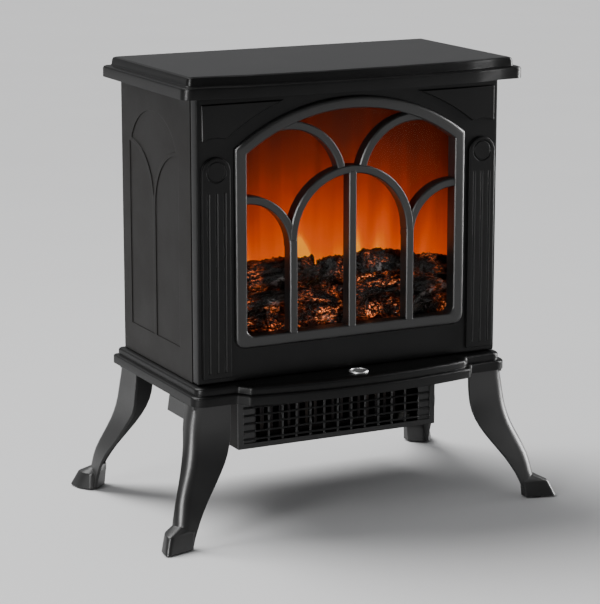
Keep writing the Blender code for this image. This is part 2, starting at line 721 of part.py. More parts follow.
def make_ember_bed():
    """Moulded bed of embers that fills the firebox floor."""
    bm = bmesh.new()
    half = LINER_HALF - SHEET - 2 * GAP
    front, back = LINER_FRONT + 0.001, SCREEN_FRONT - 2 * GAP
    floor = LINER_BOTTOM + SHEET + GAP
    bmesh.ops.create_grid(bm, x_segments=22, y_segments=5, size=0.5)
    for vert in bm.verts:
        x = vert.co.x * 2 * half
        y = (front + back) / 2 + vert.co.y * (back - front)
        vert.co = (x, y, ember_height(x, y))
    skirt = bmesh.ops.extrude_face_region(bm, geom=bm.faces[:])
    for item in skirt["geom"]:
        if isinstance(item, bmesh.types.BMVert):
            item.co.z = floor
    bmesh.ops.recalc_face_normals(bm, faces=bm.faces)
    part(bm, "ember_bed", "charred_resin")


def make_log_set():
    """One moulding of crossed logs that lies on the embers."""
    depth = CABINET_FRONT
    logs = [
        ((-0.166, depth + 0.055, 0.264), (0.166, depth + 0.058, 0.266), 0.0175, 0.0165),
        ((-0.150, depth + 0.040, 0.262), (-0.030, depth + 0.064, 0.288), 0.0150, 0.0125),
        ((-0.105, depth + 0.066, 0.290), (0.030, depth + 0.050, 0.282), 0.0125, 0.0140),
        ((-0.020, depth + 0.044, 0.272), (0.105, depth + 0.066, 0.290), 0.0140, 0.0115),
        ((0.060, depth + 0.062, 0.288), (0.160, depth + 0.040, 0.264), 0.0120, 0.0145),
        ((-0.060, depth + 0.034, 0.258), (0.070, depth + 0.036, 0.260), 0.0115, 0.0125),
    ]
    bm = bmesh.new()
    start, end, near, far = logs[0]
    add_bar_between(bm, start, end, near, far, 12)
    obj = part(bm, "log_set", "charred_resin")
    for number, (start, end, near, far) in enumerate(logs[1:], 2):
        join(obj, add_bar_between(bmesh.new(), start, end, near, far, 10), f"log_{number}")


# ---------------------------------------------------------------- flame effect drive
def make_flame_rotor():
    """Spindle with rows of bright paddles that throws the flicker on the screen."""
    bm = rod((0.0, ROTOR_Y, ROTOR_Z), "X", SHAFT_RADIUS, 2 * ROTOR_HALF + 0.022, 8)
    obj = part(bm, "flame_rotor", "polished_sheet", origin=(0.0, ROTOR_Y, ROTOR_Z))
    paddles = bmesh.new()
    for number in range(11):
        x = -0.135 + number * 0.027
        turn = Matrix.Rotation(math.radians(56 * number), 4, "X")
        turn = turn @ Matrix.Rotation(math.radians(20), 4, "Z")
        add_box(paddles, (x - 0.007, ROTOR_Y - 0.0005, ROTOR_Z - ROTOR_RADIUS),
                (x + 0.007, ROTOR_Y + 0.0005, ROTOR_Z + ROTOR_RADIUS), turn)
    join(obj, paddles, "paddles")


def make_rotor_brackets():
    """Two upright bearing plates that stand on the base and carry the rotor's shaft."""
    for side, name in ((-1, "rotor_bracket_left"), (1, "rotor_bracket_right")):
        middle = side * (ROTOR_HALF + 0.0060)
        plate = box((middle - 0.001, ROTOR_Y - 0.016, CABINET_BOTTOM),
                    (middle + 0.001, ROTOR_Y + 0.016, ROTOR_Z + 0.022))
        obj = part(plate, name, "zinc_sheet")
        cut(obj, rod((middle, ROTOR_Y, ROTOR_Z), "X", SHAFT_RADIUS + SHAFT_CLEARANCE, 0.02, 20), "bearing")


def make_rotor_motor():
    """Slow geared motor on the right-hand bracket."""
    obj = part(rod((ROTOR_HALF + 0.0205, ROTOR_Y, ROTOR_Z), "X", 0.0195, 0.0150, 28), "rotor_motor",
               "motor_steel", smooth=True)
    ears = box((ROTOR_HALF + 0.0131, ROTOR_Y - 0.0035, ROTOR_Z - 0.0260),
               (ROTOR_HALF + 0.0150, ROTOR_Y + 0.0035, ROTOR_Z + 0.0230))
    join(obj, ears, "ears")


def make_led_strip():
    """Board of lamps below the rotor."""
    obj = part(box((-0.140, ROTOR_Y - 0.0060, 0.2130), (0.140, ROTOR_Y + 0.0060, 0.2146)), "led_strip",
               "circuit_board")
    lamps = bmesh.new()
    for number in range(12):
        x = -0.132 + number * 0.024
        add_box(lamps, (x - 0.0025, ROTOR_Y - 0.0025, 0.2140), (x + 0.0025, ROTOR_Y + 0.0025, 0.2162))
    join(obj, lamps, "lamps")


def make_led_bracket():
    """Channel on the base that holds the lamp board."""
    outline = [(ROTOR_Y - 0.0080, CABINET_BOTTOM), (ROTOR_Y + 0.0080, CABINET_BOTTOM),
               (ROTOR_Y + 0.0080, CABINET_BOTTOM + SHEET), (ROTOR_Y + 0.0010, CABINET_BOTTOM + SHEET),
               (ROTOR_Y + 0.0010, 0.2112), (ROTOR_Y + 0.0070, 0.2112), (ROTOR_Y + 0.0070, 0.2127),
               (ROTOR_Y - 0.0070, 0.2127), (ROTOR_Y - 0.0070, 0.2112), (ROTOR_Y - 0.0010, 0.2112),
               (ROTOR_Y - 0.0010, CABINET_BOTTOM + SHEET), (ROTOR_Y - 0.0080, CABINET_BOTTOM + SHEET)]
    part(extruded([outline], "X", -0.120, 0.050), "led_bracket", "zinc_sheet")


# ---------------------------------------------------------------- fan heater
def make_heater_box():
    """Folded sheet box under the base, open at the top and the front, with air slots at the back."""
    shell = box((-BOX_HALF, BOX_FRONT, BOX_BOTTOM), (BOX_HALF, BOX_BACK, BOX_TOP))
    obj = part(shell, "heater_box", "black_paint")
    inner = box((-BOX_HALF + SHEET, BOX_FRONT - 0.01, BOX_BOTTOM + SHEET),
                (BOX_HALF - SHEET, BOX_BACK - SHEET, BOX_TOP + 0.01))
    cut(obj, inner, "hollow")
    slots = bmesh.new()
    for column in (-1, 0, 1):
        for row in range(4):
            x, z = column * 0.070, BOX_BOTTOM + 0.014 + row * 0.011
            add_box(slots, (x - 0.028, BOX_BACK - 0.01, z), (x + 0.028, BOX_BACK + 0.01, z + 0.0045))
    cut(obj, slots, "air_slots")


def make_outlet_grille():
    """Moulded outlet: a border, six sloping louvres and upright bars, with blind ends."""
    back = BOX_FRONT - GAP
    front = back - GRILLE_THICKNESS
    obj = part(box((-BOX_HALF, front, BOX_BOTTOM), (BOX_HALF, back, BOX_TOP)), "outlet_grille", "satin_black")
    cut(obj, box((-MOUTH_HALF, front - 0.01, MOUTH_BOTTOM), (MOUTH_HALF, back + 0.01, MOUTH_TOP)), "mouth")
    blind = bmesh.new()
    for side in (-1, 1):
        low, high = sorted((side * (MOUTH_HALF + 0.0002), side * 0.1230))
        add_box(blind, (low, front - 0.01, MOUTH_BOTTOM), (high, front + 0.0016, MOUTH_TOP))
    cut(obj, blind, "blind_ends")
    louvres = bmesh.new()
    tilt = Matrix.Rotation(math.radians(-24), 4, "X")
    for number in range(6):
        z = MOUTH_BOTTOM + 0.0040 + number * 0.0094
        add_box(louvres, (-0.1234, front + 0.0002, z - 0.0011), (0.1234, back - 0.0002, z + 0.0011), tilt)
    join(obj, louvres, "louvres")
    bars = bmesh.new()
    for number in range(-5, 6):
        x = number * 0.018
        low = (x - 0.0013, front + 0.0012, MOUTH_BOTTOM - 0.0010)
        add_box(bars, low, (x + 0.0013, back - 0.0003, MOUTH_TOP + 0.0010))
    join(obj, bars, "bars")


def make_heating_element():
    """Ceramic heater block with upright fins, between the outlet and the wheel."""
    front, back = BOX_FRONT + 0.0220, BOX_FRONT + 0.0370
    block = box((-0.0900, front, BOX_BOTTOM + 0.0050), (0.0900, back, 0.1480))
    obj = part(block, "heating_element", "heater_fins")
    slots = bmesh.new()
    for number in range(15):
        x = -0.0812 + number * 0.0116
        add_box(slots, (x - 0.0040, front - 0.01, BOX_BOTTOM + 0.0100), (x + 0.0040, back + 0.01, 0.1430))
    cut(obj, slots, "fin_gaps")


def make_thermal_cutout():
    profile = [(0.0, 0.0075), (0.0045, 0.0075), (0.0045, 0.0050), (0.0080, 0.0050), (0.0080, 0.0), (0.0, 0.0)]
    turned("thermal_cutout", profile, (0.1060, BOX_FRONT + 0.0300, BOX_BOTTOM + SHEET + GAP), "Z",
           "white_nylon", 20)


def make_blower_wheel():
    """Cross-flow wheel: a ring of blades between discs, on the motor's shaft."""
    left, right = BLOWER_LEFT, BLOWER_RIGHT
    bm = rod((-0.0120, BLOWER_Y, BLOWER_Z), "X", BLOWER_SHAFT, 0.1860, 8)
    obj = part(bm, "blower_wheel", "white_nylon", origin=(0.0, BLOWER_Y, BLOWER_Z))
    discs = bmesh.new()
    for x in (left, (left + right) / 2, right):
        add_rod(discs, (x, BLOWER_Y, BLOWER_Z), "X", BLOWER_RADIUS + 0.0005, 0.0018, 20)
    join(obj, discs, "discs")
    blades = bmesh.new()
    for number in range(BLOWER_BLADES):
        angle = 2 * math.pi * number / BLOWER_BLADES
        place = Matrix.Rotation(angle, 4, "X") @ Matrix.Translation((0, 0, BLOWER_RADIUS - 0.0042))
        place = place @ Matrix.Rotation(math.radians(35), 4, "X")
        size = Matrix.Diagonal((right - left + 0.0006, 0.0008, 0.0070, 1.0))
        middle = Matrix.Translation(((left + right) / 2, BLOWER_Y, BLOWER_Z))
        bmesh.ops.create_cube(blades, size=1.0, matrix=middle @ place @ size)
    join(obj, blades, "blades")


def make_blower_motor():
    can = rod((0.0960, BLOWER_Y, BLOWER_Z), "X", 0.0200, 0.0280, 28)
    obj = part(can, "blower_motor", "motor_steel", smooth=True)
    join(obj, rod((0.0790, BLOWER_Y, BLOWER_Z), "X", 0.0070, 0.0080, 20), "boss")
    hole = rod((0.0780, BLOWER_Y, BLOWER_Z), "X", BLOWER_SHAFT + SHAFT_CLEARANCE, 0.0160, 20)
    cut(obj, hole, "shaft_hole")


def make_blower_bearing():
    """Bearing plate at the wheel's free end."""
    x, floor = BLOWER_LEFT - 0.0040, BOX_BOTTOM + SHEET + GAP
    plate = box((x - 0.001, BLOWER_Y - 0.012, floor), (x + 0.001, BLOWER_Y + 0.012, 0.1340))
    obj = part(plate, "blower_bearing", "zinc_sheet")
    cut(obj, rod((x, BLOWER_Y, BLOWER_Z), "X", BLOWER_SHAFT + SHAFT_CLEARANCE, 0.02, 20), "bearing")


def make_fan_scroll():
    """Curved guide that turns the air from the back slots round the wheel to the heater."""
    middle = (BLOWER_Y, BLOWER_Z + 0.001)
    inner = arc(middle, BLOWER_RADIUS + 0.0055, -35, 95, 14)
    outer = arc(middle, BLOWER_RADIUS + 0.0067, 95, -35, 14)
    sheet = extruded([inner + outer], "X", BLOWER_LEFT + 0.001, BLOWER_RIGHT - 0.001)
    part(sheet, "fan_scroll", "zinc_sheet")


def make_tilt_switch():
    """Sealed switch that cuts the heater off if the stove tips."""
    floor = BOX_BOTTOM + SHEET + GAP
    part(box((-0.1240, BLOWER_Y - 0.012, floor), (-0.1100, BLOWER_Y + 0.012, 0.1130)),
         "tilt_switch", "white_nylon")


# ---------------------------------------------------------------- controls
def make_control_plate():
    """Plate on the back that carries the thermostat and three rockers."""
    low = (CONTROL_X - 0.0620, CABINET_BACK + GAP, CONTROL_Z - 0.0230)
    high = (CONTROL_X + 0.0620, PLATE_FACE, CONTROL_Z + 0.0230)
    obj = part(box(low, high), "control_plate", "black_plastic")
    bevel(obj, 0.0008, 2)
    holes = bmesh.new()
    for x in SWITCH_X:
        add_box(holes, (x - 0.0070, CABINET_BACK - 0.01, CONTROL_Z - 0.0110),
                (x + 0.0070, CABINET_BACK + 0.01, CONTROL_Z + 0.0110))
    add_rod(holes, (KNOB_X, CABINET_BACK, CONTROL_Z), "Y", 0.0042, 0.020, 20)
    cut(obj, holes, "holes")


def make_thermostat():
    body = box((KNOB_X - 0.0140, CABINET_BACK - 0.0260, CONTROL_Z - 0.0140),
               (KNOB_X + 0.0140, CABINET_BACK - 0.0080, CONTROL_Z + 0.0140))
    obj = part(body, "thermostat_body", "white_nylon")
    bevel(obj, 0.0012, 1)
    join(obj, rod((KNOB_X, CABINET_BACK - 0.0030, CONTROL_Z), "Y", 0.0038, 0.0110, 20), "bush")
    cut(obj, rod((KNOB_X, CABINET_BACK, CONTROL_Z), "Y", 0.0030, 0.0240, 20), "bore")


def make_thermostat_knob():
    """Knob with a gripped skirt and a pointer rib, on its own spindle."""
    base = PLATE_FACE + 0.0008
    bm = rod((KNOB_X, base + 0.0015, CONTROL_Z), "Y", 0.0145, 0.0030, 36)
    obj = part(bm, "thermostat_knob", "knob_plastic", origin=(KNOB_X, CABINET_BACK, CONTROL_Z))
    body = bmesh.new()
    add_rod(body, (KNOB_X, base + 0.0075, CONTROL_Z), "Y", 0.0110, 0.0130, 30, 0.0098)
    join(obj, body, "body")
    pointer = box((KNOB_X - 0.0012, base + 0.0100, CONTROL_Z),
                  (KNOB_X + 0.0012, base + 0.0152, CONTROL_Z + 0.0120))
    join(obj, pointer, "pointer")
    join(obj, rod((KNOB_X, base - 0.0060, CONTROL_Z), "Y", 0.0027, 0.0160, 16), "spindle")


def make_rocker_switches():
    """Three rockers, each on its own pivot in a snap-in housing."""
    face = PLATE_FACE + GAP
    for name, x in zip(("power", "heat_low", "heat_high"), SWITCH_X):
        shell = box((x - 0.0067, CABINET_BACK - 0.0160, CONTROL_Z - 0.0107),
                    (x + 0.0067, face + 0.0002, CONTROL_Z + 0.0107))
        housing = part(shell, f"{name}_switch_housing", "satin_black")
        rim = box((x - 0.0088, face, CONTROL_Z - 0.0128), (x + 0.0088, face + 0.0016, CONTROL_Z + 0.0128))
        join(housing, rim, "rim")
        well = box((x - 0.0050, CABINET_BACK - 0.0080, CONTROL_Z - 0.0090),
                   (x + 0.0050, face + 0.010, CONTROL_Z + 0.0090))
        cut(housing, well, "well")
        pivot_y = CABINET_BACK - 0.0010
        outline = [(-0.0070, -0.0030), (0.0070, -0.0030), (0.0078, 0.0052), (0.0, 0.0040), (-0.0078, 0.0052)]
        points = []
        for u, v in outline:
            z = u * math.cos(ROCKER_TILT) - v * math.sin(ROCKER_TILT)
            y = u * math.sin(ROCKER_TILT) + v * math.cos(ROCKER_TILT)
            points.append((pivot_y + y, CONTROL_Z + z))
        rocker = extruded([points], "X", x - 0.0046, x + 0.0046)
        obj = part(rocker, f"{name}_rocker", "knob_plastic", origin=(x, pivot_y, CONTROL_Z))
        bevel(obj, 0.0004, 1)


def make_terminal_block():
    block = box((0.1150, 0.0700, CABINET_BOTTOM), (0.1550, 0.0880, 0.1930))
    obj = part(block, "terminal_block", "white_nylon")
    wells = bmesh.new()
    for number in range(3):
        add_rod(wells, (0.1230 + number * 0.0120, 0.0790, 0.1930), "Z", 0.0034, 0.0160, 14)
    cut(obj, wells, "screw_wells")


def make_cord_gland():
    """Bushing in the back for the supply cord, which isn't part of this model."""
    profile = [(0.0045, 0.0090), (0.0075, 0.0090), (0.0110, 0.0040), (0.0110, 0.0), (0.0080, 0.0),
               (0.0080, -0.0080), (0.0045, -0.0080), (0.0045, 0.0090)]
    turned("cord_gland", profile, (GLAND_X, CABINET_BACK + GAP, GLAND_Z), "Y", "rubber", 16)


# ---------------------------------------------------------------- legs
def leg_station(height, columns):
    """Values of the leg's stations at a height, on a smooth curve through them."""
    rows = LEG_STATIONS
    for index in range(len(rows) - 1):
        if height >= rows[index + 1][0] - 1e-9:
            break
    first, second = rows[index], rows[index + 1]
    before = rows[max(index - 1, 0)]
    after = rows[min(index + 2, len(rows) - 1)]
    t = (first[0] - height) / (first[0] - second[0])
    values = []
    for column in columns:
        p0, p1, p2, p3 = (row[column] for row in (before, first, second, after))
        values.append(0.5 * (2 * p1 + (p2 - p0) * t + (2 * p0 - 5 * p1 + 4 * p2 - p3) * t * t
                             + (3 * p1 - p0 - 3 * p2 + p3) * t ** 3))
    return values


def leg_row(height, back):
    """The L-shaped outline of a leg's outer face at one height, for the +X side."""
    columns = (1, 5, 3, 6) if back else (1, 2, 3, 4)
    inner_x, corner_x, corner_y, edge_y = leg_station(height, columns)
    start_x, end_y = corner_x - LEG_CORNER, corner_y - LEG_CORNER
    if end_y < edge_y + 0.0010:
        end_y = edge_y + 0.0010
    points = [(inner_x, corner_y), ((inner_x + start_x) / 2, corner_y)]
    for k in range(7):
        angle = math.radians(90 - 15 * k)
        points.append((start_x + LEG_CORNER * math.cos(angle), end_y + (corner_y - end_y) * math.sin(angle)))
    points += [(corner_x, (end_y + edge_y) / 2), (corner_x, edge_y)]
    return [(x, y, height) for x, y in points]


def leg_ear(sx, sy):
    """Square tab that carries the front leg's side wall back along the base."""
    rings = []
    for z, corner_x in ((0.1378, 0.2056), (0.1555, 0.2030)):
        outer, inner = corner_x - 0.0002, corner_x - LEG_WALL + 0.0002
        ring = [(inner, 0.0468), (outer, 0.0468), (outer, 0.0935), (inner, 0.0935)]
        rings.append([(sx * x, sy * y, z) for x, y in ring])
    return loft(rings)


def make_legs():
    """Four cast legs: a thin curved L-shaped wall, a bolting flange at the top and a solid toe."""
    top, foot = LEG_STATIONS[0][0], LEG_STATIONS[-1][0]
    for sx, sy, name in ((-1, -1, "leg_front_left"), (1, -1, "leg_front_right"),
                         (-1, 1, "leg_back_left"), (1, 1, "leg_back_right")):
        bm = bmesh.new()
        rows = []
        for i in range(LEG_ROWS + 1):
            height = top + (foot - top) * i / LEG_ROWS
            rows.append([bm.verts.new((sx * x, sy * y, z)) for x, y, z in leg_row(height, sy > 0)])
        for upper, lower in zip(rows, rows[1:]):
            for a in range(len(upper) - 1):
                quad = [upper[a], upper[a + 1], lower[a + 1], lower[a]]
                bm.faces.new(quad if sx * sy > 0 else list(reversed(quad)))
        obj = part(bm, name, "satin_black", smooth=True)
        solidify(obj, LEG_WALL)
        join(obj, toe(sx, sy), "toe")
        if sy < 0:
            join(obj, leg_ear(sx, sy), "ear")
        corner_x = LEG_STATIONS[0][5] if sy > 0 else LEG_STATIONS[0][2]
        low_x, high_x = sorted((sx * 0.1600, sx * (corner_x - 0.0020)))
        low_y, high_y = sorted((sy * 0.0600, sy * 0.1100))
        join(obj, box((low_x, low_y, FLANGE_BOTTOM), (high_x, high_y, FLANGE_TOP)), "flange")
        x, y = sx * LEG_BOLTS[-1][0], sy * LEG_BOLTS[-1][1]
        cut(obj, rod((x, y, FLANGE_BOTTOM), "Z", BOLT_HOLE, 0.020, 16), "bolt_hole")


def toe(sx, sy):
    """Solid toe, flat on top, that flares out from the ankle to a round tip."""
    bottom = [(0.2180, 0.1455), (0.2560, 0.1560), (0.2530, 0.1330), (0.2420, 0.1190), (0.2330, 0.1190),
              (0.2180, 0.1330)]
    rim = [(0.2160, 0.1428), (0.2490, 0.1487), (0.2478, 0.1300), (0.2415, 0.1200), (0.2330, 0.1190),
           (0.2160, 0.1330)]
    crown = [(0.2155, 0.1422), (0.2476, 0.1474), (0.2466, 0.1300), (0.2408, 0.1206), (0.2330, 0.1196),
             (0.2155, 0.1330)]
    ankle = [(0.2130, 0.1396), (0.2298, 0.1365), (0.2337, 0.1280), (0.2335, 0.1240), (0.2310, 0.1225),
             (0.2130, 0.1330)]
    wide = (0.0010, 0.0078, 0.0060, 0.0030, 0.0030, 0.0010)
    tight = (0.0010, 0.0040, 0.0018, 0.0014, 0.0010, 0.0010)
    rings = []
    for outline, eases, z, shift in ((bottom, wide, 0.0015, 0.0065), (rim, wide, 0.0185, 0.0065),
                                     (crown, wide, 0.0200, 0.0065), (ankle, tight, 0.0275, 0.0042)):
        if sy < 0:
            shift = 0.0
        ring = rounded_polygon(outline, eases, 4)
        rings.append([(sx * (x - shift), sy * y, z) for x, y in ring])
    return loft(rings)


def make_foot_pads():
    for sx, sy, name in ((-1, -1, "front_left"), (1, -1, "front_right"),
                         (-1, 1, "back_left"), (1, 1, "back_right")):
        middle = (sx * PAD_X, sy * PAD_Y, PAD_HEIGHT / 2)
        part(rod(middle, "Z", PAD_RADIUS, PAD_HEIGHT, 20), f"foot_pad_{name}", "rubber")


def make_leg_bolts():
    for number, (x, y) in enumerate(LEG_BOLTS, 1):
        profile = [(0.0, 0.0090), (0.0030, 0.0090), (0.0030, 0.0), (0.0068, 0.0), (0.0068, -0.0012),
                   (0.0058, -0.0014), (0.0058, -0.0052), (0.0, -0.0052)]
        turned(f"leg_bolt_{number}", profile, (x, y, FLANGE_BOTTOM - GAP), "Z", "screw_steel", 12)


# ---------------------------------------------------------------- build
reset_scene()
PARTS = new_collection("electric_fireplace")
TOOLS = new_collection("cutters")

make_top_plate()
make_base_plate()
make_badge()
make_front_fascia()
make_window_frame()
make_window_glass()
make_side_panels()
make_rear_panel()
make_rear_screws()
make_firebox_liner()
make_flame_screen()
make_flame_mask()
make_ember_bed()
make_log_set()
make_flame_rotor()
make_rotor_brackets()
make_rotor_motor()
make_led_strip()
make_led_bracket()
make_heater_box()
make_outlet_grille()
make_heating_element()
make_thermal_cutout()
make_blower_wheel()
make_blower_motor()
make_blower_bearing()
make_fan_scroll()
make_tilt_switch()
make_control_plate()
make_thermostat()
make_thermostat_knob()
make_rocker_switches()
make_terminal_block()
make_cord_gland()
make_legs()
make_foot_pads()
make_leg_bolts()
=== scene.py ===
"""Looks of a freestanding electric fireplace: enamelled cast body, flame screen, charred logs and embers."""
import math
import random

import bmesh
import bpy
from mathutils import Matrix, Vector, noise


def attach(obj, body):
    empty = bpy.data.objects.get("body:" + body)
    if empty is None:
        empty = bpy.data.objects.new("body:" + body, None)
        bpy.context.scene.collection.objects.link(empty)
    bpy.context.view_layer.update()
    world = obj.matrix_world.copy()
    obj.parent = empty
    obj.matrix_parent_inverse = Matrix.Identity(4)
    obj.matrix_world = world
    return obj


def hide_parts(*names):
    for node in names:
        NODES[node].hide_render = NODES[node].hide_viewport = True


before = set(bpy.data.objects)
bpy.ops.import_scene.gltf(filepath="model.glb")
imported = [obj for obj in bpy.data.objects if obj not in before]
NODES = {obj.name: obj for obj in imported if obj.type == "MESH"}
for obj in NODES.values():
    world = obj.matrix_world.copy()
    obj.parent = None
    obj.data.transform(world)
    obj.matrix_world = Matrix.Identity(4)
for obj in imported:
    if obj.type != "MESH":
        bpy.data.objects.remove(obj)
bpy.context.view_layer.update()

# Camera and studio
CAMERA_PLACE = (-1.2732, -2.5059, 0.8678)
CAMERA_TARGET = (-0.0169, -0.0093, 0.2372)
CAMERA_LENS = 144.6
CAMERA_SENSOR = 36.0
FLOOR_RADIUS = 30.0
FLOOR_SINK = 0.0004
WORLD_COLOUR = (0.96, 0.97, 1.0, 1.0)
WORLD_STRENGTH = 0.22
SUN_STRENGTH = 3.3
SUN_SPREAD = math.radians(40)
SUN_TILT = (math.radians(-28), math.radians(-24), 0.0)
# Soft boxes: name, place, target, width, height, power, whether it shows only in glossy surfaces
SOFT_BOXES = (
    ("key_box", (-1.55, -0.75, 1.15), (0, 0, 0.28), 0.5, 1.2, 7, False),
    ("top_box", (-0.3, 0.5, 1.9), (0, 0, 0.4), 1.2, 0.8, 7, False),
    ("left_strip", (-1.62, -0.84, 0.62), (0, 0, 0.30), 0.26, 1.5, 45, True),
    ("right_strip", (1.75, -0.25, 0.62), (0, 0, 0.30), 0.5, 1.5, 90, True),
    ("back_panel", (0.0, 2.6, 1.05), (0, 0, 0.40), 5.0, 1.3, 3.5, True),
)

# Firebox room: the fire pieces stay inside these limits
ROOM_HALF = 0.1785
ROOM_FRONT = -0.0865
ROOM_BACK = -0.0255
ROOM_FLOOR = 0.2040


# ---------------------------------------------------------------- node helpers
class Graph:
    """A material's node tree, with short calls to add and join nodes."""

    def __init__(self, name):
        self.material = bpy.data.materials.new(name)
        self.material.use_nodes = True
        self.tree = self.material.node_tree
        self.tree.nodes.clear()
        self.output = self.tree.nodes.new("ShaderNodeOutputMaterial")
        self.place = self.add("ShaderNodeTexCoord").outputs["Object"]
        self.edge = None

    def add(self, kind, inputs=None, **settings):
        node = self.tree.nodes.new("ShaderNode" + kind if not kind.startswith("ShaderNode") else kind)
        for key, value in settings.items():
            setattr(node, key, value)
        for key, value in (inputs or {}).items():
            self.feed(value, node.inputs[key])
        return node

    def feed(self, value, socket):
        if isinstance(value, bpy.types.NodeSocket):
            self.tree.links.new(value, socket)
        elif value is not None:
            socket.default_value = value

    def math(self, operation, a, b=None, c=None, clamp=False):
        node = self.add("Math", operation=operation, use_clamp=clamp)
        for socket, value in zip(node.inputs, (a, b, c)):
            self.feed(value, socket)
        return node.outputs[0]

    def noise(self, scale, detail=2.0, rough=0.5, stretch=None, distortion=0.0, offset=None):
        place = self.place
        if stretch or offset:
            place = self.add("Mapping", {"Vector": place, "Scale": stretch or (1, 1, 1),
                                         "Location": offset or (0, 0, 0)}).outputs[0]
        return self.add("TexNoise", {"Vector": place, "Scale": scale, "Detail": detail,
                                     "Roughness": rough, "Distortion": distortion}).outputs["Fac"]

    def remap(self, value, low, high, to_low=0.0, to_high=1.0, kind="SMOOTHSTEP"):
        return self.add("MapRange", {"Value": value, "From Min": low, "From Max": high, "To Min": to_low,
                                     "To Max": to_high}, interpolation_type=kind).outputs[0]

    def ramp(self, factor, stops):
        node = self.add("ValToRGB", {"Fac": factor})
        elements = node.color_ramp.elements
        while len(elements) < len(stops):
            elements.new(0.5)
        for element, (position, colour) in zip(elements, stops):
            element.position = position
            element.color = (*colour, 1.0)
        return node.outputs["Color"]

    def mix(self, factor, a, b):
        node = self.add("Mix", data_type="RGBA")
        self.feed(factor, node.inputs[0])
        self.feed(a if isinstance(a, bpy.types.NodeSocket) else (*a, 1.0), node.inputs[6])
        self.feed(b if isinstance(b, bpy.types.NodeSocket) else (*b, 1.0), node.inputs[7])
        return node.outputs[2]

    def soften(self, radius):
        """Later bumps start from normals rounded over the edges by this radius."""
        self.edge = self.add("Bevel", {"Radius": radius}, samples=6).outputs[0]

    def bump(self, height, strength, distance, under=None):
        under = under or self.edge
        return self.add("Bump", {"Height": height, "Strength": strength, "Distance": distance,
                                 "Normal": under}).outputs[0]

    def principled(self, **inputs):
        node = self.add("BsdfPrincipled")
        for key, value in inputs.items():
            self.feed(value, node.inputs[key.replace("_", " ")])
        self.tree.links.new(node.outputs[0], self.output.inputs["Surface"])
        return node


# ---------------------------------------------------------------- finishes
def enamel(name, dark, light, rough, specular, grain=1300.0, grain_depth=0.00005, waves=0.25):
    """Baked black enamel: a fine orange-peel skin, with slow changes of tone and gloss."""
    g = Graph(name)
    g.soften(0.0007)
    cloud = g.noise(14.0, 4.0, 0.6)
    peel = g.noise(grain, 2.0, 0.55)
    swell = g.noise(160.0, 3.0, 0.5)
    colour = g.mix(g.remap(cloud, 0.3, 0.7), dark, light)
    gloss = g.math("ADD", g.remap(cloud, 0.3, 0.7, rough[0], rough[1]),
                   g.remap(peel, 0.3, 0.7, -0.03, 0.03))
    normal = g.bump(swell, waves, 0.0001)
    normal = g.bump(peel, 0.5, grain_depth, normal)
    g.principled(Base_Color=colour, Roughness=gloss, Normal=normal, Specular_IOR_Level=specular)
    return g.material


def metal(name, dark, light, rough, brushed=(40.0, 40.0, 900.0), metallic=1.0):
    """Sheet or machined metal with a brushed grain and faint stains."""
    g = Graph(name)
    lines = g.noise(1.0, 3.0, 0.6, stretch=brushed)
    stain = g.noise(35.0, 4.0, 0.6)
    colour = g.mix(g.remap(stain, 0.3, 0.7), dark, light)
    gloss = g.math("ADD", g.remap(lines, 0.2, 0.8, rough[0], rough[1]),
                   g.remap(stain, 0.3, 0.7, -0.04, 0.04))
    g.principled(Base_Color=colour, Roughness=gloss, Metallic=metallic, Normal=g.bump(lines, 0.3, 0.00004))
    return g.material


def moulded(name, dark, light, rough, pebble=900.0, specular=0.4, depth=0.00006):
    """Moulded plastic or rubber with a fine pebble texture."""
    g = Graph(name)
    g.soften(0.0006)
    pebbles = g.noise(pebble, 1.0, 0.4)
    cloud = g.noise(22.0, 3.0, 0.5)
    colour = g.mix(g.remap(cloud, 0.3, 0.7), dark, light)
    g.principled(Base_Color=colour, Roughness=g.remap(pebbles, 0.3, 0.7, rough[0], rough[1]),
                 Normal=g.bump(pebbles, 0.35, depth), Specular_IOR_Level=specular)
    return g.material


def heater_fins(name):
    g = Graph(name)
    bands = g.noise(1.0, 2.0, 0.5, stretch=(900.0, 20.0, 20.0))
    heat = g.noise(30.0, 4.0, 0.6)
    colour = g.ramp(heat, [(0.3, (0.050, 0.040, 0.034)), (0.5, (0.034, 0.030, 0.030)),
                           (0.7, (0.024, 0.022, 0.026))])
    g.principled(Base_Color=colour, Roughness=g.remap(bands, 0.3, 0.7, 0.30, 0.5), Metallic=0.9,
                 Normal=g.bump(bands, 0.6, 0.0002))
    return g.material


def circuit_board(name):
    g = Graph(name)
    traces = g.add("TexBrick", {"Vector": g.place, "Scale": 160.0, "Mortar Size": 0.06,
                                "Color1": (0.01, 0.09, 0.035, 1), "Color2": (0.012, 0.11, 0.04, 1),
                                "Mortar": (0.35, 0.30, 0.16, 1)})
    g.principled(Base_Color=traces.outputs["Color"], Roughness=g.remap(g.noise(200.0), 0.3, 0.7, 0.3, 0.45),
                 Normal=g.bump(traces.outputs["Fac"], 0.3, 0.0001))
    return g.material


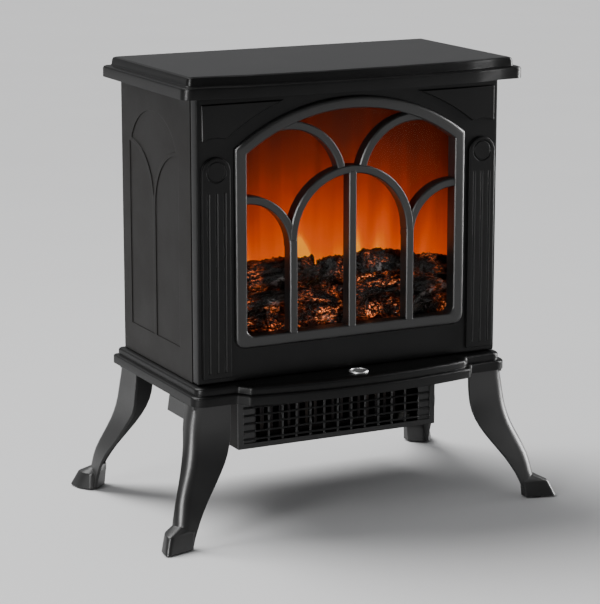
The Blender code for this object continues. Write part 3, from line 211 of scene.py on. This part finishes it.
def window_glass(name):
    """Thin clear glass with a faint tint that drifts across it, open to light from the room."""
    g = Graph(name)
    tint = g.mix(g.remap(g.noise(9.0, 3.0, 0.5, stretch=(1.0, 1.0, 2.4)), 0.35, 0.7),
                 (0.96, 0.965, 0.96), (0.93, 0.935, 0.93))
    glass = g.add("BsdfPrincipled", {"Base Color": tint, "Transmission Weight": 1.0, "IOR": 1.09,
                                     "Roughness": 0.0})
    clear = g.add("BsdfTransparent", {"Color": tint})
    path = g.add("LightPath")
    both = g.add("MixShader", {"Fac": path.outputs["Is Shadow Ray"]})
    g.tree.links.new(glass.outputs[0], both.inputs[1])
    g.tree.links.new(clear.outputs[0], both.inputs[2])
    g.tree.links.new(both.outputs[0], g.output.inputs["Surface"])
    return g.material


# Flame tongues: foot x, foot z, height, half width, lean, strength
TONGUES = (
    (-0.012, 0.282, 0.052, 0.0052, -0.42, 0.62),
    (-0.016, 0.284, 0.110, 0.0080, -0.22, 0.16),
    (0.052, 0.292, 0.075, 0.0060, -0.08, 0.20),
    (0.078, 0.294, 0.080, 0.0090, 0.10, 0.20),
    (-0.100, 0.284, 0.050, 0.0150, 0.10, 0.18),
    (-0.140, 0.280, 0.045, 0.0120, 0.20, 0.20),
    (0.112, 0.286, 0.090, 0.0045, 0.22, 0.20),
    (0.140, 0.280, 0.120, 0.0060, 0.16, 0.14),
)
FLAME_FOOT = 0.284
FLAME_HEAD = 0.486
FLAME_MIDDLE = -0.008
FLAME_HALF = 0.170


def flame_picture(name):
    """Back-lit flame film: yellow at the logs, orange above, deep red at the top, with upright streaks."""
    g = Graph(name)
    axes = g.add("SeparateXYZ", {"Vector": g.place})
    x, z = axes.outputs["X"], axes.outputs["Z"]
    height = g.remap(z, FLAME_FOOT, FLAME_HEAD, kind="LINEAR")
    aside = g.math("DIVIDE", g.math("SUBTRACT", x, FLAME_MIDDLE), FLAME_HALF)
    level = g.math("ADD", height, g.math("MULTIPLY", g.math("MULTIPLY", aside, aside), 0.27))
    streak = g.noise(1.0, 3.0, 0.55, stretch=(75.0, 0.0, 3.5), distortion=0.4)
    broad = g.noise(1.0, 2.0, 0.5, stretch=(16.0, 0.0, 5.0), offset=(3.1, 0.0, 1.7))
    level = g.math("ADD", level, g.math("MULTIPLY", g.math("SUBTRACT", streak, 0.5), -0.30))
    level = g.math("ADD", level, g.math("MULTIPLY", g.math("SUBTRACT", broad, 0.5), -0.34))
    for foot_x, foot_z, rise, half, lean, strength in TONGUES:
        up = g.math("SUBTRACT", z, foot_z)
        middle = g.math("ADD", g.math("MULTIPLY", up, lean), foot_x)
        off = g.math("DIVIDE", g.math("SUBTRACT", x, middle), half)
        bell = g.math("EXPONENT", g.math("MULTIPLY", g.math("MULTIPLY", off, off), -1.0))
        fade = g.remap(up, 0.0, rise, 1.0, 0.0)
        glow = g.math("MULTIPLY", g.math("MULTIPLY", bell, fade), strength)
        level = g.math("SUBTRACT", level, glow)
    colour = g.ramp(g.math("ADD", g.math("MULTIPLY", level, 0.92), 0.06), [
        (0.00, (1.15, 0.37, 0.0)),
        (0.07, (0.96, 0.190, 0.0)),
        (0.16, (0.78, 0.098, 0.0)),
        (0.30, (0.60, 0.052, 0.0)),
        (0.46, (0.34, 0.024, 0.0)),
        (0.62, (0.165, 0.011, 0.0)),
        (0.78, (0.075, 0.005, 0.0)),
        (1.00, (0.030, 0.002, 0.0)),
    ])
    grain = g.noise(700.0, 1.0, 0.4)
    g.principled(Base_Color=g.mix(grain, (0.010, 0.004, 0.002), (0.015, 0.006, 0.003)), Roughness=0.7,
                 Emission_Color=colour, Emission_Strength=1.0, Specular_IOR_Level=0.1)
    return g.material


# Bright spots on the burnt wood: x, z, half width, half height, lean
ASH_SPOTS = (
    (-0.0695, 0.2780, 0.0100, 0.0050, 0.35), (-0.0830, 0.2560, 0.0090, 0.0040, -0.30),
    (0.0600, 0.2830, 0.0035, 0.0065, 0.40), (0.0885, 0.2510, 0.0045, 0.0055, -0.20),
    (0.1238, 0.2480, 0.0070, 0.0050, 0.50), (-0.0138, 0.2310, 0.0060, 0.0030, 0.10),
    (-0.0420, 0.2900, 0.0050, 0.0030, 0.60), (0.1420, 0.2560, 0.0050, 0.0060, -0.60),
)
# Spots where orange glow is painted into the emission of the wood: x, z, half width, half height, lean
PAINTED_GLOW_SPOTS = (
    (-0.0812, 0.2480, 0.0100, 0.0060, -0.35), (-0.0164, 0.2344, 0.0170, 0.0080, 0.10),
    (0.0030, 0.2420, 0.0100, 0.0070, 0.50), (0.0680, 0.2905, 0.0050, 0.0032, 0.10),
    (0.0602, 0.2651, 0.0260, 0.0034, 0.02), (0.0765, 0.2400, 0.0026, 0.0095, -0.20),
    (0.0470, 0.2345, 0.0160, 0.0075, 0.20), (0.1473, 0.2330, 0.0120, 0.0070, 0.30),
    (-0.0269, 0.2530, 0.0150, 0.0030, -0.15), (-0.1200, 0.2360, 0.0140, 0.0050, 0.20),
)


def spots(g, table):
    """Soft-edged ovals in the XZ plane, added together."""
    axes = g.add("SeparateXYZ", {"Vector": g.place})
    x, z = axes.outputs["X"], axes.outputs["Z"]
    total = None
    for middle_x, middle_z, half_x, half_z, lean in table:
        across = g.math("SUBTRACT", x, middle_x)
        up = g.math("SUBTRACT", g.math("SUBTRACT", z, middle_z), g.math("MULTIPLY", across, lean))
        across, up = g.math("DIVIDE", across, half_x), g.math("DIVIDE", up, half_z)
        reach = g.math("ADD", g.math("MULTIPLY", across, across), g.math("MULTIPLY", up, up))
        spot = g.remap(reach, 0.3, 1.6, 1.0, 0.0)
        total = spot if total is None else g.math("MAXIMUM", total, spot)
    return total


def charred(name, ash, ember, tone=1.0):
    """Charred resin: cracked black-brown skin, pale ash in patches, and orange glow and glints painted into
    the emission on the splinters; ember sets their strength.
    """
    g = Graph(name)
    cells = g.add("TexVoronoi", {"Vector": g.place, "Scale": 170.0, "Randomness": 1.0},
                  feature="DISTANCE_TO_EDGE").outputs["Distance"]
    patch = g.noise(46.0, 5.0, 0.65)
    fine = g.noise(380.0, 4.0, 0.65)
    grit = g.noise(900.0, 2.0, 0.6, offset=(0.2, 0.5, 0.1))
    base = g.mix(g.remap(patch, 0.42, 0.66), (0.0016, 0.0011, 0.0009),
                 (0.014 * tone, 0.0062 * tone, 0.0036 * tone))
    dust = g.math("MULTIPLY", spots(g, ASH_SPOTS),
                  g.remap(g.noise(190.0, 5.0, 0.75, offset=(0.4, 0.2, 0.9)), 0.42, 0.56))
    stray = g.remap(g.noise(150.0, 5.0, 0.8, offset=(0.7, 0.1, 0.3)), 0.70, 0.78, 0.0, 0.5 * ash)
    colour = g.mix(g.math("MAXIMUM", g.math("MULTIPLY", dust, ash), stray), base, (0.40, 0.36, 0.35))
    # Painted glints: orange emission on thin streaks of the surface, standing in for light caught on the
    # splinters
    shard = g.noise(1.0, 3.0, 0.7, stretch=(210.0, 210.0, 480.0), offset=(0.1, 0.7, 0.3))
    painted_glint_streaks = g.math("MULTIPLY", g.remap(shard, 0.50, 0.62), g.remap(grit, 0.36, 0.60))
    # Where the painted glow may show: the listed spots and random patches
    place = g.math("MAXIMUM", spots(g, PAINTED_GLOW_SPOTS),
                   g.remap(g.noise(34.0, 2.0, 0.5, offset=(0.9, 0.1, 0.5)), 0.46, 0.66, 0.0, 0.75))
    hot = g.math("MULTIPLY", painted_glint_streaks, place)
    # Colour of the painted glow and glints, from dull red to orange-white
    glow = g.ramp(hot, [(0.0, (0.0, 0.0, 0.0)), (0.12, (0.060, 0.010, 0.003)), (0.40, (0.34, 0.060, 0.014)),
                        (0.75, (0.95, 0.22, 0.060)), (1.0, (1.5, 0.60, 0.24))])
    normal = g.bump(g.remap(cells, 0.0, 0.12), 0.6, 0.0008)
    normal = g.bump(fine, 0.8, 0.0010, normal)
    g.principled(Base_Color=colour, Roughness=g.remap(fine, 0.3, 0.7, 0.30, 0.62), Normal=normal,
                 Emission_Color=glow, Emission_Strength=ember, Specular_IOR_Level=0.45)
    return g.material


FINISH = {
    "black_paint": lambda n: enamel(n, (0.0085, 0.0074, 0.0066), (0.0125, 0.0110, 0.0100),
                                    (0.38, 0.48), 0.12),
    "satin_black": lambda n: enamel(n, (0.0085, 0.0084, 0.0082), (0.0130, 0.0128, 0.0125),
                                    (0.32, 0.42), 0.52),
    "black_plastic": lambda n: moulded(n, (0.0040, 0.0040, 0.0040), (0.0062, 0.0061, 0.0060), (0.30, 0.40),
                                       specular=0.18, depth=0.00003),
    "knob_plastic": lambda n: moulded(n, (0.012, 0.012, 0.0125), (0.020, 0.020, 0.0205), (0.30, 0.42)),
    "rubber": lambda n: moulded(n, (0.012, 0.012, 0.012), (0.022, 0.021, 0.020), (0.65, 0.8), 500.0),
    "white_nylon": lambda n: moulded(n, (0.62, 0.60, 0.55), (0.72, 0.70, 0.66), (0.38, 0.5)),
    "zinc_sheet": lambda n: metal(n, (0.36, 0.38, 0.40), (0.52, 0.54, 0.56), (0.32, 0.5)),
    "polished_sheet": lambda n: metal(n, (0.58, 0.58, 0.58), (0.72, 0.72, 0.71), (0.12, 0.22)),
    "motor_steel": lambda n: metal(n, (0.30, 0.31, 0.32), (0.44, 0.45, 0.46), (0.28, 0.42)),
    "screw_steel": lambda n: metal(n, (0.34, 0.34, 0.35), (0.50, 0.50, 0.51), (0.22, 0.36)),
    "silver_badge": lambda n: metal(n, (0.34, 0.34, 0.34), (0.46, 0.46, 0.46), (0.42, 0.55),
                                    (1400.0, 30.0, 30.0)),
    "heater_fins": heater_fins,
    "circuit_board": circuit_board,
    "glass": window_glass,
    "flame_film": flame_picture,
    "charred_resin": lambda n: charred(n, 0.6, 1.0),
}


SMOOTH_ANGLE = math.radians(38)


def smoothing_group():
    """Geometry nodes that shade faces smooth and keep the sharp edges sharp."""
    group = bpy.data.node_groups.new("smooth_by_angle", "GeometryNodeTree")
    group.interface.new_socket("Geometry", in_out="INPUT", socket_type="NodeSocketGeometry")
    group.interface.new_socket("Geometry", in_out="OUTPUT", socket_type="NodeSocketGeometry")
    start, end = group.nodes.new("NodeGroupInput"), group.nodes.new("NodeGroupOutput")
    faces = group.nodes.new("GeometryNodeSetShadeSmooth")
    edges = group.nodes.new("GeometryNodeSetShadeSmooth")
    edges.domain = "EDGE"
    angle = group.nodes.new("GeometryNodeInputMeshEdgeAngle")
    sharp = group.nodes.new("FunctionNodeCompare")
    sharp.data_type, sharp.operation = "FLOAT", "GREATER_THAN"
    sharp.inputs[1].default_value = SMOOTH_ANGLE
    group.links.new(angle.outputs["Unsigned Angle"], sharp.inputs[0])
    group.links.new(start.outputs[0], faces.inputs["Geometry"])
    group.links.new(faces.outputs[0], edges.inputs["Geometry"])
    group.links.new(sharp.outputs[0], edges.inputs["Selection"])
    edges.inputs["Shade Smooth"].default_value = False
    group.links.new(edges.outputs[0], end.inputs[0])
    return group


def dress_cad():
    """Gives every CAD node the finish of its slot, and shades its rounded edges smooth."""
    finishes = {}
    group = smoothing_group()
    for name, node in sorted(NODES.items()):
        for holder in node.material_slots:
            slot = holder.material.name.split(".")[0]
            if slot not in finishes:
                finishes[slot] = FINISH[slot](slot + "_finish")
            holder.material = finishes[slot]
        weld = node.modifiers.new("weld", "WELD")
        weld.merge_threshold = 0.00001
        smooth = node.modifiers.new("smooth", "NODES")
        smooth.node_group = group
        weighted = node.modifiers.new("weighted", "WEIGHTED_NORMAL")
        weighted.keep_sharp = True
        weighted.weight = 60


# ---------------------------------------------------------------- fire pieces
def mesh_object(name, bm, material, smooth=True):
    mesh = bpy.data.meshes.new(name)
    bm.to_mesh(mesh)
    bm.free()
    for polygon in mesh.polygons:
        polygon.use_smooth = smooth
    mesh.materials.append(material)
    made = bpy.data.objects.new(name, mesh)
    bpy.context.scene.collection.objects.link(made)
    return made


def keep_in_room(point):
    """The point, moved inside the firebox room if it lies outside."""
    return Vector((max(-ROOM_HALF, min(ROOM_HALF, point.x)),
                   max(ROOM_FRONT, min(ROOM_BACK, point.y)),
                   max(ROOM_FLOOR, point.z)))


def add_log(bm, start, end, radius, seed, rough=0.26, bend=0.004, flat=0.85, taper=0.85, jag=0.008):
    """A split, burnt log from start to end: ridged bark, an irregular section and broken ends."""
    start, end = Vector(start), Vector(end)
    axis = (end - start).normalized()
    side = axis.cross(Vector((0, 0, 1))).normalized()
    over = side.cross(axis).normalized()
    rings, steps = 40, 44
    origin = Vector((seed * 7.31, seed * 3.17, seed * 1.93))
    loops = []
    for i in range(rings + 1):
        t = i / rings
        centre = (start.lerp(end, t) + over * (bend * math.sin(math.pi * t))
                  + side * (bend * 0.6 * math.sin(5.0 * t + seed)))
        size = radius * (1 + (taper - 1) * t)
        loop = []
        for k in range(steps):
            a = 2 * math.pi * k / steps
            ring = Vector((math.cos(a), math.sin(a)))
            bark = noise.fractal(Vector((ring.x * 2.2, ring.y * 2.2, t * 1.3)) + origin, 0.8, 2.1, 4)
            crag = noise.fractal(Vector((ring.x * 5.0, ring.y * 5.0, t * 14.0)) + origin * 2, 0.7, 2.0, 4)
            facet = abs(math.sin(a * 2.5 + seed)) ** 2
            reach = size * (1 + rough * 1.3 * bark + rough * 0.8 * crag - 0.10 * facet)
            broken = jag * noise.noise(Vector((ring.x * 3.1, ring.y * 3.1, seed + (0 if t < 0.5 else 9.0))))
            pull = max(0.0, 1 - min(t, 1 - t) * rings / 3.0)
            ends = axis * (broken * pull)
            point = centre + side * (ring.x * reach) + over * (ring.y * reach * flat) + ends
            loop.append(bm.verts.new(keep_in_room(point)))
        loops.append(loop)
    for low, high in zip(loops, loops[1:]):
        for k in range(steps):
            bm.faces.new((low[k], low[(k + 1) % steps], high[(k + 1) % steps], high[k]))
    for loop, sign in ((loops[0], -1), (loops[-1], 1)):
        previous = loop
        middle = sum((v.co for v in loop), Vector()) / steps
        for shrink in (0.82, 0.6, 0.35, 0.12):
            ring = []
            for v in loop:
                toward = middle.lerp(v.co, shrink)
                lift = 0.35 * jag * noise.fractal(toward * 190 + origin, 0.8, 2.0, 3)
                ring.append(bm.verts.new(keep_in_room(toward + axis * sign * lift)))
            for k in range(steps):
                face = (previous[k], previous[(k + 1) % steps], ring[(k + 1) % steps], ring[k])
                bm.faces.new(face if sign > 0 else face[::-1])
            previous = ring
        cap = previous if sign > 0 else previous[::-1]
        bm.faces.new(cap)


def add_lump(bm, centre, size, rng, stretch=(1.0, 1.0, 1.0), detail=2, cuts=7):
    """A broken coal: a sphere cut by random planes, roughened, and turned at random."""
    made = bmesh.ops.create_icosphere(bm, subdivisions=detail, radius=1.0)["verts"]
    planes = []
    for _ in range(cuts):
        normal = Vector((rng.gauss(0, 1), rng.gauss(0, 1), rng.gauss(0, 1))).normalized()
        planes.append((normal, rng.uniform(0.45, 0.8)))
    turn = Matrix.Rotation(rng.uniform(0, math.tau), 3,
                           (rng.gauss(0, 1), rng.gauss(0, 1), rng.gauss(0, 1) + 0.01))
    origin = Vector((rng.uniform(0, 90), rng.uniform(0, 90), rng.uniform(0, 90)))
    for v in made:
        p = v.co.copy()
        for normal, depth in planes:
            over = p.dot(normal) - depth
            if over > 0:
                p -= normal * over * 0.92
        p *= 1 + 0.16 * noise.fractal(v.co * 2.4 + origin, 0.8, 2.0, 3)
        p = turn @ Vector((p.x * stretch[0], p.y * stretch[1], p.z * stretch[2]))
        v.co = keep_in_room(p * size + Vector(centre))


def bed_height(x, y):
    """Top of the coal pile: low at the glass, rising to the logs."""
    back = (y - ROOM_FRONT) / (ROOM_BACK - ROOM_FRONT)
    wave = noise.fractal(Vector((x * 22, y * 30, 4.2)), 0.8, 2.0, 3)
    return 0.2185 + 0.056 * back ** 0.9 + 0.006 * wave


def make_fire(charcoal, ember, ash):
    logs = bmesh.new()
    # start, end, radius, seed, flatness, taper
    for start, end, radius, seed, flat, taper in (
        ((-0.172, -0.040, 0.268), (-0.052, -0.052, 0.288), 0.0165, 1.3, 0.85, 0.95),
        ((-0.076, -0.044, 0.276), (-0.018, -0.038, 0.285), 0.0190, 2.7, 1.00, 0.75),
        ((-0.006, -0.036, 0.277), (0.034, -0.050, 0.283), 0.0150, 3.9, 0.90, 1.05),
        ((0.030, -0.048, 0.285), (0.098, -0.042, 0.282), 0.0165, 4.4, 0.80, 0.98),
        ((0.094, -0.040, 0.274), (0.172, -0.046, 0.264), 0.0190, 5.8, 0.92, 0.85),
        ((-0.150, -0.062, 0.246), (-0.058, -0.068, 0.262), 0.0125, 6.1, 0.80, 0.85),
        ((-0.062, -0.066, 0.262), (0.000, -0.068, 0.246), 0.0105, 7.5, 0.75, 0.80),
        ((0.012, -0.066, 0.252), (0.096, -0.064, 0.260), 0.0120, 8.6, 0.85, 0.90),
        ((0.092, -0.064, 0.254), (0.166, -0.060, 0.246), 0.0125, 9.2, 0.80, 0.85),
    ):
        add_log(logs, start, end, radius, seed, flat=flat, taper=taper)
    log_piece = mesh_object("charred_logs", logs, charcoal)
    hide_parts("log_set")

    rng = random.Random(41)
    coals, hot, pale = bmesh.new(), bmesh.new(), bmesh.new()
    rows = 9
    for row in range(rows):
        depth = row / (rows - 1)
        y = ROOM_FRONT + 0.006 + (ROOM_BACK - ROOM_FRONT - 0.010) * depth
        count = 30
        for i in range(count):
            x = -ROOM_HALF + 0.005 + (2 * ROOM_HALF - 0.010) * (i + rng.uniform(0.0, 1.0)) / count
            size = rng.choice((0.0036, 0.0048, 0.0062, 0.0080))
            rise = rng.uniform(-0.004, 0.005)
            place = (x, y + rng.uniform(-0.003, 0.003), bed_height(x, y) - 0.003 + rise)
            stretch = (rng.uniform(0.9, 2.2), rng.uniform(0.7, 1.1), rng.uniform(0.45, 0.9))
            draw = rng.random()
            # Most lumps are dark; about a fifth get the finish with a stronger painted orange glow, a few
            # are pale ash
            target = coals if draw < 0.72 else hot if draw < 0.94 else pale
            add_lump(target, place, size, rng, stretch, detail=3, cuts=9)
    coal_piece = mesh_object("coals", coals, charcoal, smooth=False)
    painted_glow_piece = mesh_object("painted_glow_coals", hot, ember, smooth=False)
    pale_piece = mesh_object("ashen_coals", pale, ash, smooth=False)
    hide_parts("ember_bed")
    for piece in (log_piece, coal_piece, painted_glow_piece, pale_piece):
        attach(piece, "stove")

    bed = bmesh.new()
    columns, lines = 120, 26
    grid = []
    for j in range(lines + 1):
        y = ROOM_FRONT + (ROOM_BACK - ROOM_FRONT) * j / lines
        grid.append([bed.verts.new((x, y, bed_height(x, y) - 0.004
                                    + 0.0015 * noise.noise(Vector((x * 300, y * 300, 1.0)))))
                     for x in (-ROOM_HALF + 2 * ROOM_HALF * i / columns for i in range(columns + 1))])
    under = []
    for row in grid:
        under.append([bed.verts.new((v.co.x, v.co.y, ROOM_FLOOR)) for v in row])
    for j in range(lines):
        for i in range(columns):
            bed.faces.new((grid[j][i], grid[j][i + 1], grid[j + 1][i + 1], grid[j + 1][i]))
            bed.faces.new((under[j][i], under[j + 1][i], under[j + 1][i + 1], under[j][i + 1]))
    for i in range(columns):
        bed.faces.new((under[0][i], under[0][i + 1], grid[0][i + 1], grid[0][i]))
        bed.faces.new((under[-1][i + 1], under[-1][i], grid[-1][i], grid[-1][i + 1]))
    for j in range(lines):
        bed.faces.new((under[j + 1][0], under[j][0], grid[j][0], grid[j + 1][0]))
        bed.faces.new((under[j][-1], under[j + 1][-1], grid[j + 1][-1], grid[j][-1]))
    bed_piece = mesh_object("ember_tray", bed, charcoal)
    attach(bed_piece, "stove")


# ---------------------------------------------------------------- studio
def make_floor():
    bm = bmesh.new()
    ring = [bm.verts.new((FLOOR_RADIUS * math.cos(a), FLOOR_RADIUS * math.sin(a), -FLOOR_SINK))
            for a in (math.tau * k / 64 for k in range(64))]
    bm.faces.new(ring)
    g = Graph("floor_paper")
    shade = g.mix(g.noise(3.0, 3.0, 0.5), (0.80, 0.80, 0.80), (0.84, 0.84, 0.84))
    g.principled(Base_Color=shade, Roughness=0.8, Specular_IOR_Level=0.1)
    floor = mesh_object("studio_floor", bm, g.material)


def area_light(name, place, target, width, height, power, glints):
    """A soft box; one for glints shows only in glossy surfaces."""
    data = bpy.data.lights.new(name, "AREA")
    data.shape = "RECTANGLE"
    data.size, data.size_y = width, height
    data.energy = power
    light = bpy.data.objects.new(name, data)
    light.visible_diffuse = not glints
    light.visible_camera = False
    light.location = place
    light.rotation_euler = (Vector(target) - Vector(place)).to_track_quat("-Z", "Y").to_euler()
    bpy.context.scene.collection.objects.link(light)


def make_studio():
    world = bpy.data.worlds.new("studio")
    bpy.context.scene.world = world
    world.use_nodes = True
    background = world.node_tree.nodes["Background"]
    background.inputs["Color"].default_value = WORLD_COLOUR
    background.inputs["Strength"].default_value = WORLD_STRENGTH
    sun = bpy.data.lights.new("soft_sky", "SUN")
    sun.energy, sun.angle = SUN_STRENGTH, SUN_SPREAD
    sky = bpy.data.objects.new("soft_sky", sun)
    sky.rotation_euler = SUN_TILT
    bpy.context.scene.collection.objects.link(sky)
    for soft_box in SOFT_BOXES:
        area_light(*soft_box)


def make_camera():
    data = bpy.data.cameras.new("camera")
    data.lens, data.sensor_width = CAMERA_LENS, CAMERA_SENSOR
    data.clip_start, data.clip_end = 0.1, 200.0
    camera = bpy.data.objects.new("camera", data)
    camera.location = CAMERA_PLACE
    aim = Vector(CAMERA_TARGET) - Vector(CAMERA_PLACE)
    camera.rotation_euler = aim.to_track_quat("-Z", "Y").to_euler()
    bpy.context.scene.collection.objects.link(camera)
    bpy.context.scene.camera = camera


make_camera()
make_floor()
make_studio()
dress_cad()
# The coal finishes paint orange glow and glints into their emission; the second paints the strongest glow
make_fire(charred("charcoal_finish", 1.0, 1.2), charred("hot_coal_finish", 0.6, 2.4, 1.8),
          charred("ash_finish", 1.0, 0.6, 3.0))
